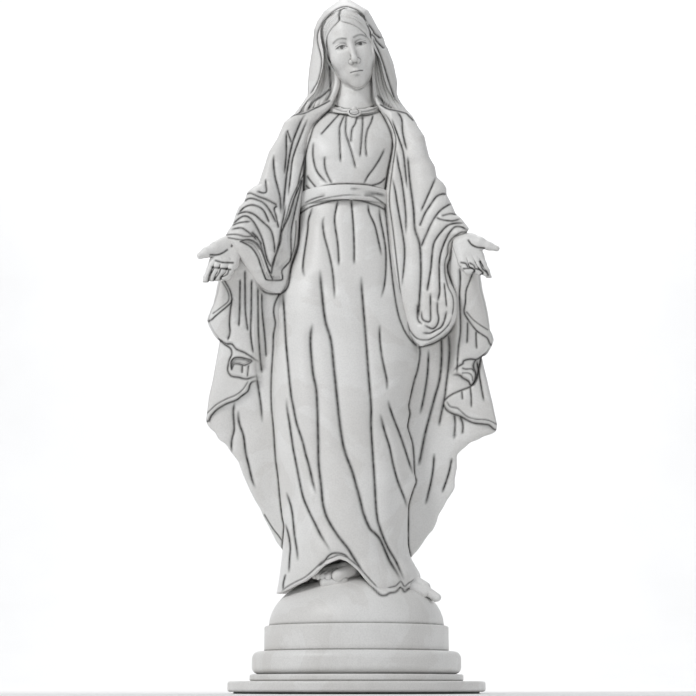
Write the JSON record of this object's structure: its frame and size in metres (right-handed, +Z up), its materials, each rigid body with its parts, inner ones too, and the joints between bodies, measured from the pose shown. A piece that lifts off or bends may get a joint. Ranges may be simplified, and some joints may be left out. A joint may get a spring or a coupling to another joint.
{
  "type": "devotional madonna statue",
  "caption": "Standing robed and veiled figure with open lowered hands, on a globe and a stepped round base.",
  "frame": {"origin": "centre of the underside of the round base, on the surface the statue stands on", "axes": "+Z up from the base to the crown, -Y the way the figure faces, +X towards the figure's left hand"},
  "size_m": [0.2614, 0.212, 0.61],
  "materials": {
    "figure_stone": "fine satin cast marble",
    "base_stone": "fine satin cast marble, turned",
    "steel": "zinc plated",
    "brass": "turned",
    "hardwood": "plain beech",
    "felt": "pressed wool felt"
  },
  "bodies": {
    "root": {"plinth_slab": "base_stone", "plinth_ring": "base_stone", "lower_step": "base_stone", "upper_step": "base_stone", "globe": "base_stone", "gown_skirt": "figure_stone", "gown_bodice": "figure_stone", "girdle": "figure_stone", "collar": "figure_stone", "head": "figure_stone", "hair": "figure_stone", "veil": "figure_stone", "mantle_back": "figure_stone", "mantle_right_arm": "figure_stone", "mantle_left_arm": "figure_stone", "mantle_right_fall": "figure_stone", "mantle_left_fall": "figure_stone", "right_hand": "figure_stone", "left_hand": "figure_stone", "right_foot": "figure_stone", "left_foot": "figure_stone", "brooch_setting": "figure_stone", "brooch_stone": "figure_stone", "threaded_rod": "steel", "rod_nut": "steel", "rod_washer": "steel", "neck_pin": "steel", "shoulder_pins": "steel", "wrist_pins": "steel", "foot_pins": "steel", "threaded_insert": "brass", "step_dowels": "hardwood", "globe_dowels": "hardwood", "felt_pad": "felt"}
  },
  "joints": []
}
